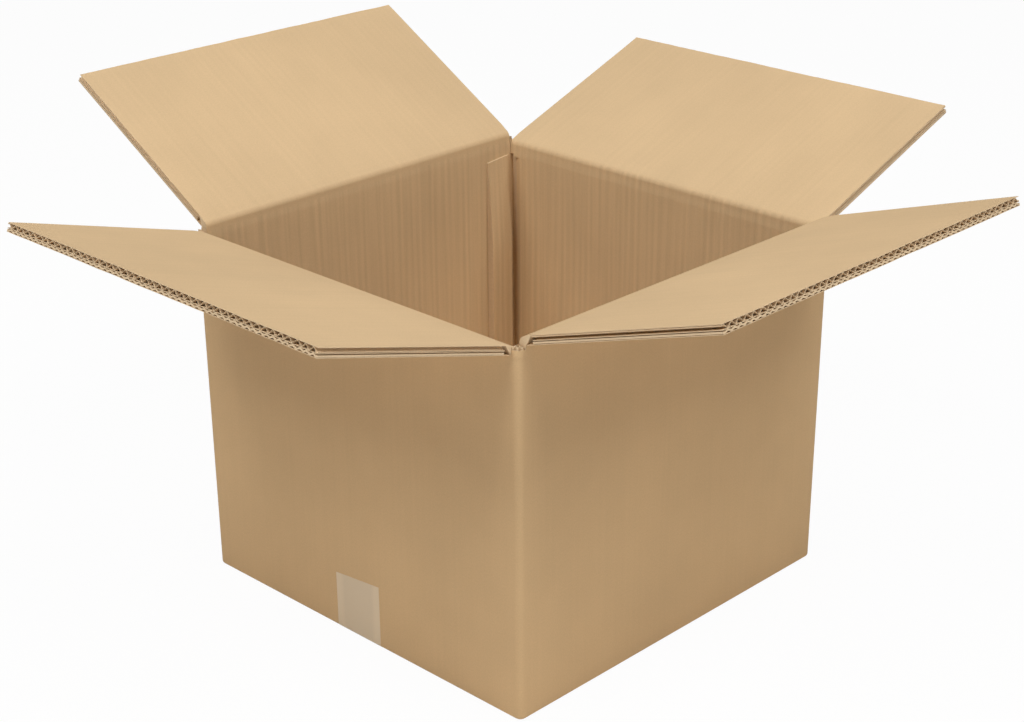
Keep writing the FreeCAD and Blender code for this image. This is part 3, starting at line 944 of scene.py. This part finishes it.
def build_camera():
    azimuth, elevation, roll = math.radians(43.99), math.radians(25.01), math.radians(-0.20)
    back = Vector((math.sin(azimuth) * math.cos(elevation),
                   -math.cos(azimuth) * math.cos(elevation), math.sin(elevation)))
    level = Vector((math.cos(azimuth), math.sin(azimuth), 0))
    upright = back.cross(level)
    right = level * math.cos(roll) + upright * math.sin(roll)
    up = upright * math.cos(roll) - level * math.sin(roll)
    lens = bpy.data.cameras.new("Camera")
    lens.sensor_fit = "HORIZONTAL"
    lens.sensor_width = 36.0
    lens.lens = 69.93
    lens.shift_x = -0.01446
    lens.shift_y = 0.06747
    lens.clip_end = 50
    camera = bpy.data.objects.new("Camera", lens)
    matrix = Matrix((right, up, back)).transposed().to_4x4()
    matrix.translation = Vector((1.04362, -1.06697, 0.81736))
    camera.matrix_world = matrix
    bpy.context.scene.collection.objects.link(camera)
    bpy.context.scene.camera = camera


# ---------------------------------------------------------------- operators


class CARTON_OT_body(bpy.types.Operator):
    """Builds the walls, the bottom, the glue tab and the cut slots"""
    bl_idname = "carton.body"
    bl_label = "Carton body"

    def execute(self, context):
        sheet = Sheet()
        build_wall_ring(sheet)
        for wall in WALLS:
            build_wall_top(sheet, wall)
        build_bottom(sheet)
        build_tab(sheet)
        build_corner_posts(sheet)
        piece = sheet.make("carton_board", papers(), "carton")
        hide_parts("carton_body")
        return {"FINISHED"}


class CARTON_OT_flaps(bpy.types.Operator):
    """Builds the four corrugated top flaps"""
    bl_idname = "carton.flaps"
    bl_label = "Top flaps"

    def execute(self, context):
        group = flap_tree()
        for wall in WALLS:
            build_flap(wall, group, papers())
        return {"FINISHED"}


class CARTON_OT_creases(bpy.types.Operator):
    """Builds the folds between the walls and the top flaps"""
    bl_idname = "carton.creases"
    bl_label = "Top folds"

    def execute(self, context):
        for wall in WALLS:
            build_fold(wall, papers())
        return {"FINISHED"}


class CARTON_OT_tape(bpy.types.Operator):
    """Builds the tape along the bottom seam"""
    bl_idname = "carton.tape"
    bl_label = "Sealing tape"

    def execute(self, context):
        build_tape(tape_material())
        return {"FINISHED"}


class CARTON_OT_stage(bpy.types.Operator):
    """Builds the floor, the light and the camera"""
    bl_idname = "carton.stage"
    bl_label = "Stage"

    def execute(self, context):
        mesh = bpy.data.meshes.new("floor")
        reach, level = 12, -0.3 * MM
        mesh.from_pydata([(-reach, -reach, level), (reach, -reach, level), (reach, reach, level),
                          (-reach, reach, level)], [], [(0, 1, 2, 3)])
        mesh.materials.append(floor_material())
        floor = bpy.data.objects.new("floor", mesh)
        context.scene.collection.objects.link(floor)
        build_world()
        for name, place, target, size, power in LAMPS:
            add_area(name, place, target, size, power)
        build_camera()
        context.scene.view_settings.view_transform = "Standard"
        return {"FINISHED"}


class CARTON_PT_panel(bpy.types.Panel):
    """Lists the carton's sizes and steps"""
    bl_idname = "CARTON_PT_panel"
    bl_label = "Carton"
    bl_space_type = "VIEW_3D"
    bl_region_type = "UI"
    bl_category = "Carton"

    def draw(self, context):
        for group in (context.scene.carton_board, context.scene.carton_folds,
                      context.scene.carton_tape):
            box = self.layout.box()
            for name in group.__annotations__:
                box.prop(group, name)
        for step in STEPS:
            self.layout.operator(step.bl_idname)


GROUPS = (CartonBoard, CartonFolds, CartonTape)
STEPS = (CARTON_OT_body, CARTON_OT_flaps, CARTON_OT_creases, CARTON_OT_tape, CARTON_OT_stage)


def register():
    for group in GROUPS + STEPS + (CARTON_PT_panel,):
        bpy.utils.register_class(group)
    bpy.types.Scene.carton_board = bpy.props.PointerProperty(type=CartonBoard)
    bpy.types.Scene.carton_folds = bpy.props.PointerProperty(type=CartonFolds)
    bpy.types.Scene.carton_tape = bpy.props.PointerProperty(type=CartonTape)


def unregister():
    del bpy.types.Scene.carton_board
    del bpy.types.Scene.carton_folds
    del bpy.types.Scene.carton_tape
    for group in reversed(GROUPS + STEPS + (CARTON_PT_panel,)):
        bpy.utils.unregister_class(group)


def main():
    register()
    bpy.ops.carton.body()
    bpy.ops.carton.flaps()
    bpy.ops.carton.creases()
    bpy.ops.carton.tape()
    bpy.ops.carton.stage()


if __name__ == "__main__":
    main()
